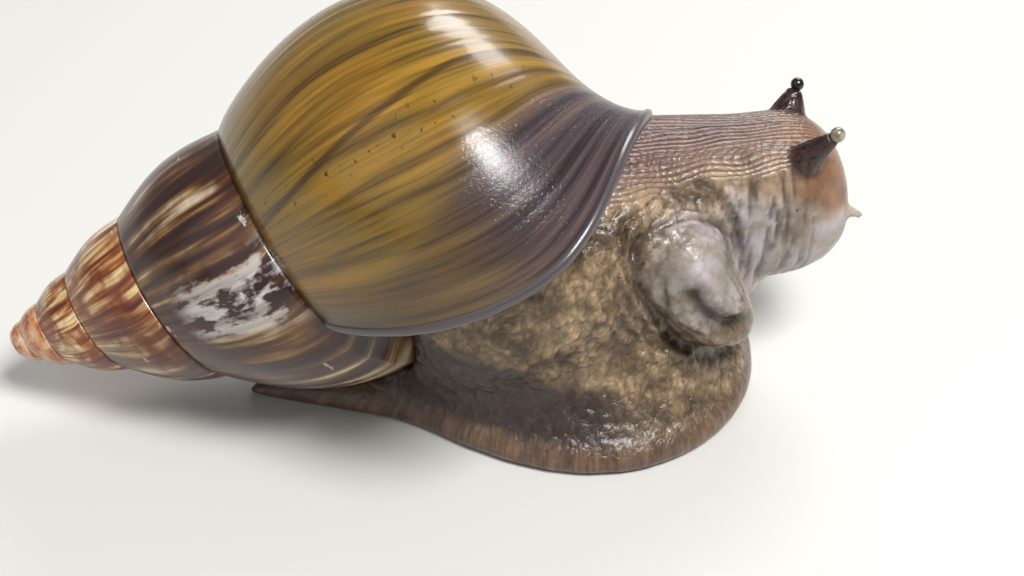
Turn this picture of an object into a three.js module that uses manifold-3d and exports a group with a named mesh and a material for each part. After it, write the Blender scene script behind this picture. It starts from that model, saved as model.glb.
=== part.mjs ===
// A giant african land snail at life size, crawling with its head raised and its feelers half drawn in.
// Millimetres: +X towards the head, +Y to the animal's left, +Z up, and the sole rests on z = 0.

import * as THREE from 'three';
import { mergeVertices } from 'three/addons/utils/BufferGeometryUtils.js';
import Module from 'manifold-3d';

const wasm = await Module();
wasm.setup();

const turn = 2 * Math.PI;
const gap = 0.3;

const clamp01 = (value) => Math.min(Math.max(value, 0), 1);
const smooth = (value) => THREE.MathUtils.smoothstep(value, 0, 1);

// The shell is one spiral about an axis through its apex. Lengths along the axis grow by the same factor on
// every turn, and radii by a power of it. The sizes here are those at the lip, where the growth angle is 0.
const shell = {
  apex: new THREE.Vector3(-101.5, 15.5, 12),
  rise: THREE.MathUtils.degToRad(21.5),
  yaw: THREE.MathUtils.degToRad(-8.8),
  growth: 1.742,
  radialPower: 0.7,
  suture: 71,
  widestAt: 106.3,
  widest: 46.5,
  base: 138.5,
  baseRadius: 2.5,
  undersideSharpness: 2.6,
  undersideFullness: 0.68,
  spireBulge: 3.7,
  pinch: 0.32,
  pinchedUntil: 47,
  pinchPower: 1.6,
  inflatedFrom: -1,
  inflatedBy: -0.55,
  bodyStretch: 0.285,
  bodyTuck: 0.13,
  bodyShare: 2.4,
  core: 0.4,
  axisInset: 0.1,
  sutureSweep: THREE.MathUtils.degToRad(5.5),
  baseSweep: THREE.MathUtils.degToRad(-27),
  sweepPower: 7,
  lipAngle: THREE.MathUtils.degToRad(83.5),
};

// The foot, spread under the shell. Widths are from the middle line to the margin.
const foot = {
  widestAt: 15,
  front: 50,
  rear: -27,
  rightWidth: 36,
  leftWidth: 31,
  back: 30,
  frontBack: 12,
  slope: [24, 44],
  roll: 7,
  stations: 22,
};

// The tail narrows behind the foot and lies a little to the left.
const tail = { root: -18, tip: -55, width: 15, height: 8, aside: 5 };

// Each station of a rounded body is [x, y, z, half width, half height].
const trunkStations = [
  [-30, 2, 14, 7, 10],
  [-18, 1, 20, 21, 18],
  [0, 0, 28.5, 27, 26.5],
  [18, 0, 28.5, 25, 26.5],
  [30, 0, 23.5, 19, 20.5],
  [39, 0, 18, 15, 16],
  [43, 0, 13, 9, 10],
  [45.6, 0, 10, 2, 3],
];
const headStations = [
  [-10, 0, 41, 17.5, 15],
  [14, 0, 40, 16.5, 16],
  [32, 0, 39, 14.5, 15.5],
  [46, -0.3, 37.1, 14, 16.2],
  [55, -0.6, 36.8, 14.5, 16.2],
  [62, -1.2, 36.8, 12.1, 14],
  [66.2, -1.8, 37.2, 8.5, 9.7],
  [67.8, -2, 37.4, 2.5, 3],
];
const foldStations = [
  [25.5, -12, 43, 8, 6],
  [29, -17.5, 38, 9.2, 8.5],
  [32.4, -20, 31, 9.8, 9],
  [36.2, -20, 24.6, 8.4, 7.3],
  [40.4, -18.7, 20.6, 5.2, 4.3],
  [44, -17.5, 18.4, 2, 1.8],
];

const mouthSize = { x: 5, y: 8, z: 6.5, lean: -0.5, place: [60.6, -1, 27] };
const lip = { width: 2.4, proud: 0.5, depth: 1.6, from: 0.02, to: 0.985, steps: 24 };
const mantle = { inside: 5.2, ahead: 2.6, thickness: 2.4, from: 0.1, to: 0.82, steps: 16 };

// The upper feelers are short cones that end in an eye, and the lower ones thin pegs.
const upperRight = { from: [55.6, -8.8, 49.6], to: [61, -11, 56.2], root: 3.1, tip: 1.5, eye: 1.5 };
const upperLeft = { from: [58, 7.4, 49.4], to: [60.3, 9.4, 55.2], root: 3.6, tip: 1.4, eye: 1.35 };
const lowerRight = { from: [65, -8.4, 36.6], to: [69, -9.6, 35], root: 1, tip: 0.65 };
const lowerLeft = { from: [65.4, 5.4, 36.6], to: [69.6, 7, 35.2], root: 1, tip: 0.65 };
const feelers = {
  upper_tentacle_right: upperRight,
  upper_tentacle_left: upperLeft,
  lower_tentacle_right: lowerRight,
  lower_tentacle_left: lowerLeft,
};

// Where the flesh is parted into pieces.
const footTop = 13;
const tailBack = -26;
const footSplit = 12;
const neckBack = 27;
const headBack = 46;

const colour = {
  horn: 0x8a6a1e,
  chestnut: 0x5a3826,
  orangeBrown: 0x9a6232,
  cream: 0xc99a76,
  lip: 0x6a5c5a,
  flesh: 0x7a6450,
  paleFlesh: 0x958b84,
  darkFlesh: 0x4c3c32,
  feeler: 0x33191a,
  eye: 0xa9a080,
};

// ---- closed bodies -------------------------------------------------------------------------------------

// Skins a stack of loops of points. Each end is closed by rungs across its loop, so loops hold an even count.
function loft(loops) {
  const around = loops[0].length;
  const points = loops.flat();
  const index = [];
  for (let row = 0; row < loops.length - 1; row += 1) {
    for (let column = 0; column < around; column += 1) {
      const a = row * around + column;
      const b = row * around + (column + 1) % around;
      index.push(a, b, a + around, b, b + around, a + around);
    }
  }
  for (const [start, flip] of [[0, true], [(loops.length - 1) * around, false]]) {
    for (let rung = 0; rung < around / 2 - 1; rung += 1) {
      const [a, b] = [start + rung, start + rung + 1];
      const [c, d] = [start + around - 2 - rung, start + around - 1 - rung];
      index.push(...(flip ? [b, a, c, c, a, d] : [a, b, c, a, c, d]));
    }
  }
  const geometry = new THREE.BufferGeometry();
  geometry.setAttribute('position', new THREE.Float32BufferAttribute(points.flatMap((p) => p.toArray()), 3));
  geometry.setIndex(index);
  return outward(mergeVertices(geometry, 1e-4));
}

function volume(geometry) {
  const position = geometry.getAttribute('position');
  const corner = [0, 1, 2].map(() => new THREE.Vector3());
  let sum = 0;
  for (let i = 0; i < geometry.index.count; i += 3) {
    corner.forEach((point, k) => point.fromBufferAttribute(position, geometry.index.getX(i + k)));
    sum += corner[0].dot(corner[1].cross(corner[2])) / 6;
  }
  return sum;
}

// Turns the faces round where they point inwards.
function outward(geometry) {
  if (volume(geometry) < 0) {
    const index = Array.from(geometry.index.array);
    for (let i = 0; i < index.length; i += 3) {
      [index[i], index[i + 1]] = [index[i + 1], index[i]];
    }
    geometry.setIndex(index);
  }
  return geometry;
}

function solid(geometry) {
  const bare = geometry.clone();
  bare.deleteAttribute('normal');
  bare.deleteAttribute('uv');
  const merged = outward(mergeVertices(bare, 1e-4));
  return new wasm.Manifold(new wasm.Mesh({
    numProp: 3,
    vertProperties: new Float32Array(merged.getAttribute('position').array),
    triVerts: new Uint32Array(merged.index.array),
  }));
}

function geometryOf(manifold) {
  const mesh = manifold.getMesh();
  const geometry = new THREE.BufferGeometry();
  geometry.setAttribute('position', new THREE.BufferAttribute(mesh.vertProperties, 3));
  geometry.setIndex(Array.from(mesh.triVerts));
  return geometry;
}

// A body with a clear gap all round it, for cutting its neighbours: copies of it moved each way.
function roomFor(geometry) {
  const ways = [[0, 0, 0], [1, 0, 0], [-1, 0, 0], [0, 1, 0], [0, -1, 0], [0, 0, 1], [0, 0, -1]];
  return ways
    .map((way) => solid(geometry.clone().translate(...way.map((step) => step * gap))))
    .reduce((all, copy) => all.add(copy));
}

// A box between two corners, for parting a body.
function block(low, high) {
  const box = new THREE.BoxGeometry(high[0] - low[0], high[1] - low[1], high[2] - low[2]);
  box.translate((low[0] + high[0]) / 2, (low[1] + high[1]) / 2, (low[2] + high[2]) / 2);
  return solid(box);
}

const snail = new THREE.Group();

function addPart(name, geometry, hex, roughness) {
  geometry.computeVertexNormals();
  const material = new THREE.MeshStandardMaterial({ color: hex, roughness, metalness: 0 });
  const mesh = new THREE.Mesh(geometry, material);
  mesh.name = name;
  snail.add(mesh);
}

// ---- shell ---------------------------------------------------------------------------------------------

const along = new THREE.Vector3(
  Math.cos(shell.rise) * Math.cos(shell.yaw),
  Math.cos(shell.rise) * Math.sin(shell.yaw),
  Math.sin(shell.rise),
);
const upwards = new THREE.Vector3(0, 0, 1).addScaledVector(along, -along.z).normalize();
const rightwards = new THREE.Vector3().crossVectors(along, upwards);

// The angle is taken from the top of the shell towards the animal's right, which is how the shell winds.
function shellPoint(radius, length, angle) {
  return shell.apex.clone()
    .addScaledVector(along, length)
    .addScaledVector(upwards, radius * Math.cos(angle))
    .addScaledVector(rightwards, radius * Math.sin(angle));
}

// The spire narrows faster towards its apex than the whorls alone would give.
function pinched(length) {
  return 1 - shell.pinch * clamp01(1 - length / shell.pinchedUntil) ** shell.pinchPower;
}

// The way the shell grows on at this angle.
function ahead(angle) {
  return rightwards.clone().multiplyScalar(Math.cos(angle)).addScaledVector(upwards, -Math.sin(angle));
}

// Radius of the whorl below its widest place, where it rounds in towards the columella.
function underside(length) {
  const u = clamp01((length - shell.widestAt) / (shell.base - shell.widestAt));
  return shell.baseRadius + (shell.widest - shell.baseRadius)
    * (1 - u ** shell.undersideSharpness) ** shell.undersideFullness;
}

// A growth line leans forwards at the suture, and turns back sharply round the base.
function sweep(t) {
  return shell.sutureSweep * (1 - t) ** 2 + shell.baseSweep * t ** shell.sweepPower;
}

const lengthAt = (t) => shell.suture + (shell.base - shell.suture) * t;

// The next whorl covers this one from here on, so its suture lies on this outline.
let covered = 0.5;
let nextTurn = 1;
for (let i = 0; i < 40; i += 1) {
  nextTurn = 1 + (sweep(covered) - shell.sutureSweep) / turn;
  covered = (shell.suture * shell.growth ** nextTurn - shell.suture) / (shell.base - shell.suture);
}
const coveredRadius = underside(lengthAt(covered));
const sutureRadius = coveredRadius / shell.growth ** (nextTurn * shell.radialPower);

// The whorls of the spire are nearly flat between their sutures. The body whorl swells to its full width
// over its first half turn.
function radiusAt(t, theta) {
  const length = lengthAt(t);
  const u = clamp01((length - shell.suture) / (shell.widestAt - shell.suture));
  const swollen = length >= shell.widestAt
    ? underside(length)
    : sutureRadius + (shell.widest - sutureRadius) * Math.sin(u * Math.PI / 2) ** 0.85;
  if (t >= covered) return swollen;
  const v = t / covered;
  const flat = sutureRadius + (coveredRadius - sutureRadius) * v + shell.spireBulge * Math.sin(Math.PI * v);
  const swell = smooth((theta / turn - shell.inflatedFrom) / (shell.inflatedBy - shell.inflatedFrom));
  return flat + (swollen - flat) * swell;
}

// The body whorl reaches further along the axis round its back than the same growth would give it.
const roundTheBack = (theta) => Math.sin(Math.PI * clamp01(-theta / turn)) ** shell.bodyShare;

// A place on the whorl's outline, or this far outside it.
function outlineAt(t, theta, outwards) {
  const step = 0.004;
  const [above, below] = [Math.max(t - step, 0), Math.min(t + step, 1)];
  const lean = Math.atan2(radiusAt(below, theta) - radiusAt(above, theta), lengthAt(below) - lengthAt(above));
  return {
    radius: radiusAt(t, theta) + outwards * Math.cos(lean),
    length: lengthAt(t) - outwards * Math.sin(lean),
  };
}

// One section of a whorl: the outline from the suture down, closed along the axis.
function whorlLoop(theta, last, detail, shift) {
  const scale = shell.growth ** (theta / turn);
  const radialScale = scale ** shell.radialPower;
  const end = last ? 1 : covered;
  const outline = [];
  const axis = [];
  const place = (radius, length, angle) => shellPoint(radius, length, angle)
    .addScaledVector(ahead(angle), shift);
  for (let i = 0; i <= detail; i += 1) {
    const t = end * i / detail;
    const angle = shell.lipAngle + theta + sweep(t);
    const past = Math.max(0, (t - covered) / (1 - covered));
    const inset = shell.axisInset * (1 - past);
    let trim = 0;
    if (i === 0) trim = gap / 2;
    if (i === detail && !last) trim = -gap / 2;
    const back = last ? roundTheBack(theta) : 0;
    const length = (shell.suture + (lengthAt(t) - shell.suture) * (1 + shell.bodyStretch * back)) * scale;
    const radius = radiusAt(t, theta) * radialScale * (1 - shell.bodyTuck * back * t) * pinched(length);
    outline.push(place(radius, length + trim, angle));
    axis.push(place(shell.core, length * (1 - inset) + trim, angle));
  }
  return [...outline, ...axis.reverse()];
}

function whorl(from, to, last, detail, steps) {
  const loops = [];
  for (let i = 0; i <= steps; i += 1) {
    const theta = turn * (from + (to - from) * i / steps);
    let edge = 0;
    if (i === 0) edge = gap / 2;
    if (i === steps) edge = -gap / 2;
    loops.push(whorlLoop(theta, last, detail, edge));
  }
  return loft(loops);
}

addPart('shell_apex', whorl(-5.4, -4, false, 2, 26), colour.cream, 0.5);
addPart('shell_upper_spire', whorl(-4, -3, false, 4, 18), colour.cream, 0.4);
addPart('shell_middle_spire', whorl(-3, -2, false, 5, 20), colour.orangeBrown, 0.35);
const penultimateWhorl = whorl(-2, -1, false, 6, 20);
const bodyWhorl = whorl(-1, 0, true, 11, 22);
addPart('shell_penultimate_whorl', penultimateWhorl, colour.chestnut, 0.3);
addPart('shell_body_whorl', bodyWhorl, colour.horn, 0.22);

// The lip is a rounded rim along the last growth line, just proud of the whorl.
function lipPoint(t, outwards, forwards) {
  const { radius, length } = outlineAt(t, 0, outwards);
  const angle = shell.lipAngle + sweep(t);
  return shellPoint(radius, length, angle).addScaledVector(ahead(angle), forwards);
}

const lipLoops = [];
for (let i = 0; i <= lip.steps; i += 1) {
  const t = lip.from + (lip.to - lip.from) * i / lip.steps;
  const loop = [];
  for (let k = 0; k < 6; k += 1) {
    const angle = k * turn / 6;
    const out = (lip.proud - lip.depth) / 2 + (lip.proud + lip.depth) / 2 * Math.cos(angle);
    const forwards = gap / 2 + lip.width / 2 + lip.width / 2 * Math.sin(angle);
    loop.push(lipPoint(t, out, forwards));
  }
  lipLoops.push(loop);
}

const whorlRoom = roomFor(bodyWhorl);
const lipRim = geometryOf(solid(loft(lipLoops)).subtract(whorlRoom));
addPart('shell_lip', lipRim, colour.lip, 0.3);

// ---- flesh ---------------------------------------------------------------------------------------------

// Margin of the foot, from its middle line: a half ellipse in front, drawn in sooner behind.
function marginWidth(x, width, rear, rearPower) {
  const ahead = x > foot.widestAt;
  const reach = ahead ? foot.front - foot.widestAt : foot.widestAt - rear;
  const u = clamp01(Math.abs(x - foot.widestAt) / reach);
  return width * (1 - u * u) ** (ahead ? 0.5 : rearPower);
}

function tailWidth(x) {
  const towardsTip = clamp01((tail.root - x) / (tail.root - tail.tip));
  const underShell = smooth((x - tail.root) / 30);
  return tail.width * (1 - towardsTip) ** 0.8 * (1 - underShell);
}

const wider = (a, b) => (a ** 4 + b ** 4) ** 0.25;

// A section of the foot: flat sole, rounded skirt, groove above it, and the back of the foot over that.
function footLoop(x) {
  const right = wider(marginWidth(x, foot.rightWidth, foot.rear, 0.8), tailWidth(x));
  const left = wider(marginWidth(x, foot.leftWidth, foot.rear - 14, 0.6), tailWidth(x));
  const size = Math.min(1, (right + left) / 40);
  const onTail = smooth((tail.root + 12 - x) / 24);
  const inFront = smooth((x - foot.slope[0]) / (foot.slope[1] - foot.slope[0]));
  const back = THREE.MathUtils.lerp(foot.back, foot.frontBack, inFront);
  const rise = THREE.MathUtils.lerp(back * size ** 0.8, tail.height * size ** 0.5, onTail);
  const aside = tail.aside * smooth((tail.root + 12 - x) / (tail.root + 12 - tail.tip));
  const loop = [];
  for (const [side, width] of [[-1, right], [1, left]]) {
    const roll = Math.min(1, width / 12, rise / 12);
    const top = foot.roll * roll;
    const upTo = (share) => top + (rise - top) * share;
    const outline = [
      [width - 1.2 * roll, 0],
      [width, 0.23 * top],
      [width - 0.4 * roll, 0.51 * top],
      [width - 1.8 * roll, 0.8 * top],
      [width - 4 * roll, top],
      [width * 0.78, upTo(0.25)],
      [width * 0.7, upTo(0.55)],
      [width * 0.55, upTo(0.85)],
      [width * 0.22, rise],
    ].map(([y, z]) => new THREE.Vector3(x, aside + side * Math.max(y, 0.15), z));
    loop.push(...(side < 0 ? outline : outline.reverse()));
  }
  return loop;
}

const footLoops = [];
for (let i = 0; i <= foot.stations; i += 1) {
  const s = 0.5 - 0.5 * Math.cos(Math.PI * (0.05 + 0.925 * i / foot.stations));
  footLoops.push(footLoop(tail.tip + (foot.front - tail.tip) * s));
}

// Rounded sections along a bent middle line; each station is [x, y, z, half width, half height].
function sections(stations, count, around, squareness = 1) {
  const curve = new THREE.CatmullRomCurve3(stations.map((s) => new THREE.Vector3(s[0], s[1], s[2])));
  const sizes = new THREE.CatmullRomCurve3(stations.map((s) => new THREE.Vector3(s[3], s[4], 0)));
  const loops = [];
  for (let i = 0; i <= count; i += 1) {
    const centre = curve.getPoint(i / count);
    const size = sizes.getPoint(i / count);
    const forward = curve.getTangent(i / count);
    const side = new THREE.Vector3(0, 0, 1).cross(forward).normalize();
    const over = new THREE.Vector3().crossVectors(forward, side);
    const loop = [];
    for (let k = 0; k < around; k += 1) {
      const angle = turn * k / around;
      const c = Math.sign(Math.cos(angle)) * Math.abs(Math.cos(angle)) ** squareness;
      const s = Math.sign(Math.sin(angle)) * Math.abs(Math.sin(angle)) ** squareness;
      loop.push(centre.clone().addScaledVector(side, size.x * c).addScaledVector(over, size.y * s));
    }
    loops.push(loop);
  }
  return loft(loops);
}

const trunkSolid = solid(sections(trunkStations, 12, 18, 0.85));
const headWhole = sections(headStations, 18, 20, 0.86);
const headRoom = roomFor(headWhole);

const shellRoom = whorlRoom.add(roomFor(penultimateWhorl)).add(roomFor(lipRim));

// The front margin of the foot is curled up on the right, as a fat fold that ends in a blunt point.
const foldBody = geometryOf(solid(sections(foldStations, 11, 14)).subtract(shellRoom));

// The mantle's thick edge lines the mouth of the shell, close under the lip.
const mantleLoops = [];
for (let i = 0; i <= mantle.steps; i += 1) {
  const u = i / mantle.steps;
  const thick = mantle.thickness * Math.sin(Math.PI * (0.12 + 0.76 * u));
  const loop = [];
  for (let k = 0; k < 8; k += 1) {
    const angle = turn * k / 8;
    const out = thick * Math.cos(angle) - mantle.inside;
    const forwards = mantle.ahead + thick * 0.8 * Math.sin(angle);
    loop.push(lipPoint(mantle.from + (mantle.to - mantle.from) * u, out, forwards));
  }
  mantleLoops.push(loop);
}
const mantleBody = geometryOf(solid(loft(mantleLoops)).subtract(shellRoom));

const flesh = solid(loft(footLoops))
  .add(trunkSolid)
  .add(solid(headWhole))
  .subtract(shellRoom)
  .subtract(roomFor(foldBody))
  .subtract(roomFor(mantleBody));

const far = 200;
const fleshParts = [
  ['foot_tail', [-far, -far, -far], [tailBack, far, footTop], colour.darkFlesh],
  ['foot_middle', [tailBack + gap, -far, -far], [footSplit, far, footTop], colour.darkFlesh],
  ['foot_front', [footSplit + gap, -far, -far], [far, far, footTop], colour.flesh],
  ['trunk', [-far, -far, footTop + gap], [neckBack, far, far], colour.flesh],
  ['neck', [neckBack + gap, -far, footTop + gap], [headBack, far, far], colour.flesh],
  ['head', [headBack + gap, -far, footTop + gap], [far, far, far], colour.paleFlesh],
];
for (const [name, low, high, hex] of fleshParts) {
  addPart(name, geometryOf(flesh.intersect(block(low, high))), hex, 0.35);
}

// The blunt lips of the mouth, under the front of the head.
const mouth = new THREE.SphereGeometry(1, 16, 12);
mouth.scale(mouthSize.x, mouthSize.y, mouthSize.z);
mouth.rotateY(mouthSize.lean);
mouth.translate(...mouthSize.place);
addPart('mouth', geometryOf(solid(mouth).subtract(headRoom)), colour.paleFlesh, 0.35);

addPart('foot_front_fold', foldBody, colour.paleFlesh, 0.35);
addPart('mantle_edge', mantleBody, colour.darkFlesh, 0.35);

for (const [name, { from, to, root, tip, eye }] of Object.entries(feelers)) {
  const start = new THREE.Vector3(...from);
  const end = new THREE.Vector3(...to);
  const length = start.distanceTo(end);
  const outline = [
    [0, 0],
    [root, 0],
    [root * 0.82, 0.3],
    [tip, 0.75],
    [tip * 0.8, 0.95],
    [0, 1],
  ];
  const feeler = new THREE.LatheGeometry(outline.map(([r, part]) => new THREE.Vector2(r, part * length)), 12);
  const lean = new THREE.Quaternion().setFromUnitVectors(
    new THREE.Vector3(0, 1, 0),
    end.clone().sub(start).normalize(),
  );
  feeler.applyQuaternion(lean);
  feeler.translate(...from);
  let body = solid(feeler).subtract(headRoom);
  if (eye) {
    const [ball, socket] = [eye, eye + gap].map((radius) => {
      const sphere = new THREE.SphereGeometry(radius, 12, 8);
      sphere.translate(...to);
      return solid(sphere);
    });
    body = body.subtract(socket);
    addPart(name.replace('upper_tentacle', 'eye'), geometryOf(ball), colour.eye, 0.15);
  }
  addPart(name, geometryOf(body), eye ? colour.feeler : colour.paleFlesh, 0.3);
}

// The origin is the middle of the box's floor.
const middle = new THREE.Box3().setFromObject(snail).getCenter(new THREE.Vector3());
snail.position.set(-middle.x, -middle.y, 0);

export default snail;
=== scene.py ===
import math
from functools import partial
import bpy
import numpy
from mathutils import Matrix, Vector, noise


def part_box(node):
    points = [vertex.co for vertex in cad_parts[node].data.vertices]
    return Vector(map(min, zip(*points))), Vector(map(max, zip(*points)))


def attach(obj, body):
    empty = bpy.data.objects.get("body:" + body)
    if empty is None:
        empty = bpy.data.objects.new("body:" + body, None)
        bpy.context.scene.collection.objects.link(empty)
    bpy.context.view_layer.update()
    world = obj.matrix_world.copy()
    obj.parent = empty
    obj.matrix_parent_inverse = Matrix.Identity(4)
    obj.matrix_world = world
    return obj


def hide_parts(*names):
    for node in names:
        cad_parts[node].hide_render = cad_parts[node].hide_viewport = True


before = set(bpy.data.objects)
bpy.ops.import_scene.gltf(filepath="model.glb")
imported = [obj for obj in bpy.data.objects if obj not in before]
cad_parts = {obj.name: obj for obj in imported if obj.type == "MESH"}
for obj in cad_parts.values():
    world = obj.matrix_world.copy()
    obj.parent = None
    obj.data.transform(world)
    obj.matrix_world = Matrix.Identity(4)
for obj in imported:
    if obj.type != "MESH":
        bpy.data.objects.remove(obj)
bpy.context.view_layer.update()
mm = 0.001  # sizes below are in mm and become metres in the meshes
turn = 2 * math.pi
originShift = Vector((14.585, 3.501, 0))  # mm from the spiral's own zero to the middle of the box


# small tools

def clamp01(value):
    return min(max(value, 0.0), 1.0)


def smoothStep(value, low=0.0, high=1.0):
    u = clamp01((value - low) / (high - low))
    return u * u * (3 - 2 * u)


def mixed(a, b, share):
    return a + (b - a) * share


def linear(hexText):  # sRGB hex to the linear colour that shaders take
    parts = [int(hexText[i:i + 2], 16) / 255 for i in (1, 3, 5)]
    return tuple(c / 12.92 if c <= 0.04045 else ((c + 0.055) / 1.055) ** 2.4 for c in parts) + (1.0,)


def addNode(tree, kind, inputs=(), out=0, stops=(), **settings):  # gives its output, so nodes can be nested
    made = tree.nodes.new("ShaderNode" + kind)
    for name, value in settings.items():
        setattr(made, name, value)
    for name, value in inputs.items() if isinstance(inputs, dict) else enumerate(inputs):
        if isinstance(value, bpy.types.NodeSocket):
            tree.links.new(value, made.inputs[name])
        else:
            made.inputs[name].default_value = value
    if stops:
        ramp = made.color_ramp
        while len(ramp.elements) < len(stops):
            ramp.elements.new(0.5)
        for element, (place, tint) in zip(ramp.elements, stops):
            element.position = place
            element.color = linear(tint) if isinstance(tint, str) else (tint, tint, tint, 1.0)
    return made.outputs[out]


def freshMaterial(name):
    material = bpy.data.materials.new(name)
    material.use_nodes = True
    material.node_tree.nodes.clear()
    return material, material.node_tree


def finishMaterial(tree, inputs):
    shader = addNode(tree, "BsdfPrincipled", inputs)
    tree.links.new(shader, tree.nodes.new("ShaderNodeOutputMaterial").inputs[0])


def deselectAll():
    if bpy.context.object and bpy.context.object.mode != "OBJECT":
        bpy.ops.object.mode_set(mode="OBJECT")
    bpy.ops.object.select_all(action="DESELECT")


def makeActive(piece):
    deselectAll()
    piece.select_set(True)
    bpy.context.view_layer.objects.active = piece


def applyModifier(piece, kind, **settings):
    makeActive(piece)
    bpy.ops.object.modifier_add(type=kind)
    modifier = piece.modifiers[-1]
    for name, value in settings.items():
        setattr(modifier, name, value)
    bpy.ops.object.modifier_apply(modifier=modifier.name)


def meshPiece(name, points, faces):  # points in mm, before the box was centred
    mesh = bpy.data.meshes.new(name)
    mesh.from_pydata([(p + originShift) * mm for p in points], [], faces)
    mesh.update()
    piece = bpy.data.objects.new(name, mesh)
    bpy.context.scene.collection.objects.link(piece)
    makeActive(piece)
    bpy.ops.object.mode_set(mode="EDIT")
    bpy.ops.mesh.select_all(action="SELECT")
    bpy.ops.mesh.normals_make_consistent(inside=False)
    bpy.ops.object.mode_set(mode="OBJECT")
    bpy.ops.object.shade_smooth()
    return piece


def finishPiece(piece, material, slot, *nodes):
    piece.data.materials.clear()
    piece.data.materials.append(material)
    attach(piece, "root")
    if nodes:
        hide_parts(*nodes)


# camera: above the animal's right side, a little from behind the middle

view = {"azimuth": -13, "elevation": 38, "distance": 380, "aim": Vector((0, 0, 21.6)),  # degrees and mm
        "lens": 66.8, "sensor": 36, "nearest": 10}


def addCamera():
    azimuth, elevation = math.radians(view["azimuth"]), math.radians(view["elevation"])
    level = math.cos(elevation)
    outwards = Vector((math.sin(azimuth) * level, -math.cos(azimuth) * level, math.sin(elevation)))
    place = (view["aim"] + originShift + outwards * view["distance"]) * mm
    bpy.ops.object.camera_add(location=place, rotation=outwards.to_track_quat("Z", "Y").to_euler())
    camera = bpy.context.object
    camera.name = "camera"
    camera.data.sensor_width = view["sensor"]
    camera.data.lens = view["lens"]
    camera.data.clip_start = view["nearest"] * mm
    bpy.context.scene.camera = camera


deselectAll()
addCamera()
print("camera placed")


# shell: one spiral about an axis through its apex

# Lengths along the axis grow by the same factor on every turn and radii by a power of it. Sizes are in mm
# at the lip, where the growth angle is 0; it is negative before that.
shell = {
    "apex": Vector((-101.5, 15.5, 12)), "rise": math.radians(21.5), "yaw": math.radians(-8.8),
    "growth": 1.742, "radialPower": 0.7, "suture": 71, "widestAt": 106.3, "widest": 46.5, "shoulder": 0.85,
    "base": 138.5, "baseRadius": 2.5, "undersideSharpness": 2.6, "undersideFullness": 0.68,
    "spireBulge": 3.7, "pinch": 0.32, "pinchedUntil": 47, "pinchPower": 1.6,
    "inflatedFrom": -1, "inflatedBy": -0.55,  # turns
    "bodyStretch": 0.285, "bodyTuck": 0.13, "bodyShare": 2.4, "core": 0.4,
    "sutureSweep": math.radians(5.5), "baseSweep": math.radians(-27), "sweepPower": 7,
    "lipAngle": math.radians(83.5), "firstTurn": -5.4, "rowsCovered": 24, "rowsBelow": 34,
    "stepsPerTurn": {-6: 90, -5: 120, -4: 160, -3: 240, -2: 380, -1: 860},
    "wall": 1.0, "throat": math.radians(-16),
    "throatSteps": [(0, 0.5), (0, 1.0), (0.35, 1.1), (0.7, 1.2), (1, 1.3)],  # shares of throat and wall
}

alongAxis = Vector((math.cos(shell["rise"]) * math.cos(shell["yaw"]),
                    math.cos(shell["rise"]) * math.sin(shell["yaw"]), math.sin(shell["rise"])))
overAxis = (Vector((0, 0, 1)) - alongAxis * alongAxis.z).normalized()
rightOfAxis = alongAxis.cross(overAxis)


def shellPoint(radius, length, angle):  # the angle runs from the top towards the animal's right
    return (shell["apex"] + alongAxis * length + overAxis * (radius * math.cos(angle))
            + rightOfAxis * (radius * math.sin(angle)))


def pinched(length):  # the spire narrows faster towards its apex than the whorls alone would give
    return 1 - shell["pinch"] * clamp01(1 - length / shell["pinchedUntil"]) ** shell["pinchPower"]


def underside(length):  # radius below the widest place, where the whorl rounds in
    u = clamp01((length - shell["widestAt"]) / (shell["base"] - shell["widestAt"]))
    fullness = (1 - u ** shell["undersideSharpness"]) ** shell["undersideFullness"]
    return shell["baseRadius"] + (shell["widest"] - shell["baseRadius"]) * fullness


def sweep(t):  # a growth line leans forwards at the suture and turns back sharply round the base
    return shell["sutureSweep"] * (1 - t) ** 2 + shell["baseSweep"] * t ** shell["sweepPower"]


def lengthAt(t):
    return shell["suture"] + (shell["base"] - shell["suture"]) * t


covered = 0.5  # share of a whorl's height from which the next one covers it; each round comes closer to it
for _ in range(40):
    nextTurn = 1 + (sweep(covered) - shell["sutureSweep"]) / turn
    nextSuture = shell["suture"] * shell["growth"] ** nextTurn
    covered = (nextSuture - shell["suture"]) / (shell["base"] - shell["suture"])
coveredRadius = underside(lengthAt(covered))
sutureRadius = coveredRadius / shell["growth"] ** (nextTurn * shell["radialPower"])


def radiusAt(t, theta):
    length = lengthAt(t)
    if length >= shell["widestAt"]:
        swollen = underside(length)
    else:
        u = clamp01((length - shell["suture"]) / (shell["widestAt"] - shell["suture"]))
        swollen = mixed(sutureRadius, shell["widest"], math.sin(u * math.pi / 2) ** shell["shoulder"])
    if t >= covered:
        return swollen
    v = t / covered
    flat = sutureRadius + (coveredRadius - sutureRadius) * v + shell["spireBulge"] * math.sin(math.pi * v)
    return mixed(flat, swollen, smoothStep(theta / turn, shell["inflatedFrom"], shell["inflatedBy"]))


def roundTheBack(theta):
    return math.sin(math.pi * clamp01(-theta / turn)) ** shell["bodyShare"]


relief = {  # mm outwards, and how often in a turn
    "ridge": 0.05, "ridges": 46, "fine": 0.04, "fines": 130, "swell": 0.12, "swells": 9,
    "pause": 0.07, "pauseWidth": 0.0022, "fade": 0.05, "calming": 0.8,
}
growthPauses = [-0.035, -0.075, -0.118, -0.165, -0.2, -0.252, -0.31, -0.355, -0.43, -0.52, -0.61, -0.7,
                -0.83]  # turns before the lip


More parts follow.
